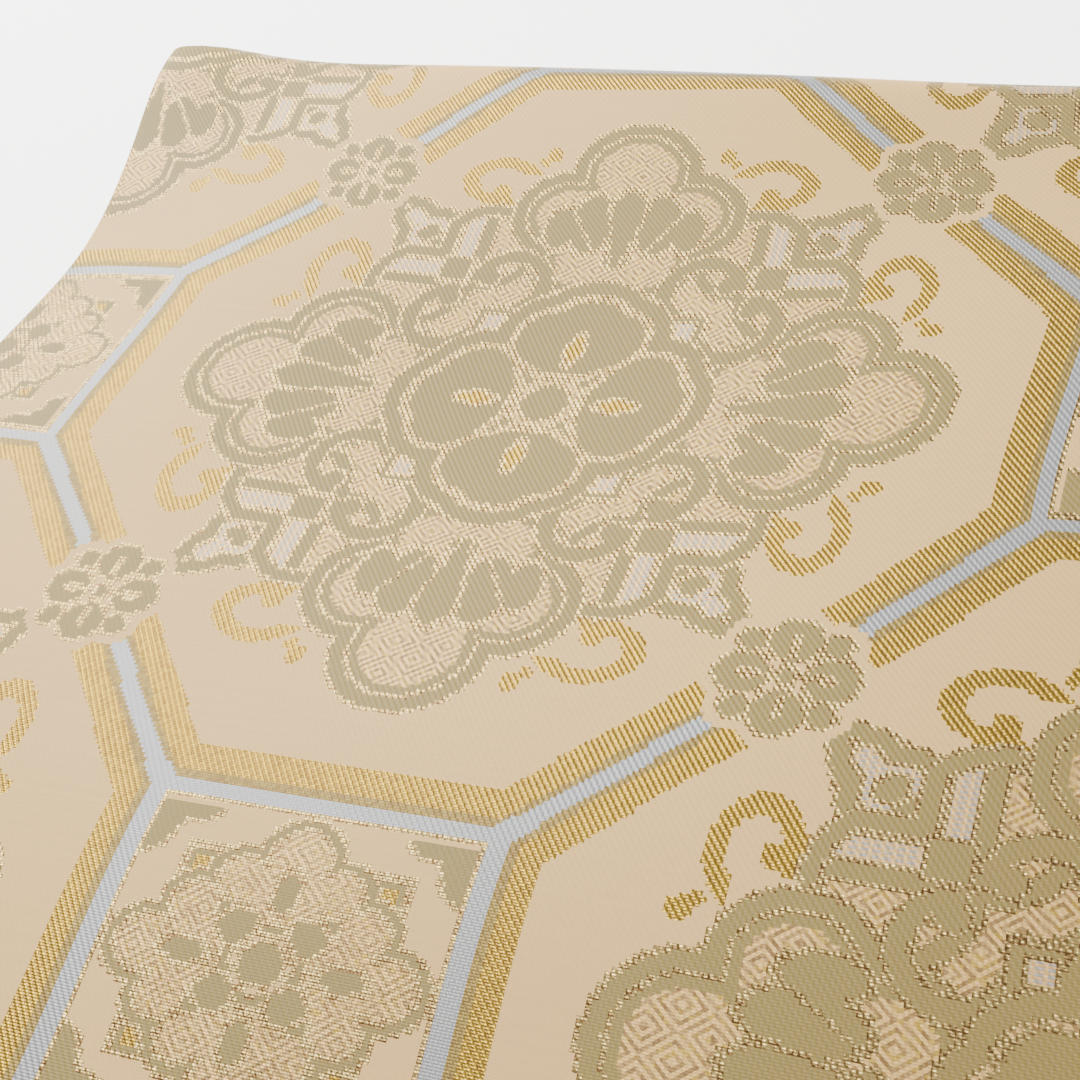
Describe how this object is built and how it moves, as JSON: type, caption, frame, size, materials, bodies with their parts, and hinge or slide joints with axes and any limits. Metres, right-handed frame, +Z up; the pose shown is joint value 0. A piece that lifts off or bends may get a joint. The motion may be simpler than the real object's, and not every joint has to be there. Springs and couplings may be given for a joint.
{
  "type": "folded obi sash",
  "caption": "Wide woven kimono sash folded into a flat rectangular pile, brocade side out, with rounded fold ends and layered long edges.",
  "frame": {"origin": "on the surface the folded sash lies on, under the middle of the pile", "axes": "+Z up through the pile; X across the sash from one long edge to the other; Y along its folded length, +Y towards the end where all the plies turn over together"},
  "size_m": [0.3138, 0.548, 0.0268],
  "materials": {
    "brocade": "figured silk satin, cream ground with woven gold, olive and silver figures",
    "plain_back": "plain cream silk back cloth, soft sheen",
    "ply_edges": "long sewn edges of the folded plies, cream silk with a fine gold thread"
  },
  "bodies": {
    "root": {"outer_stretch_front": "brocade", "outer_stretch_back": "plain_back", "hidden_plies": "ply_edges", "inner_near_fold": "brocade", "outer_end_front": "brocade", "outer_end_back": "plain_back", "inner_end_front": "brocade", "inner_end_back": "plain_back"}
  },
  "joints": []
}
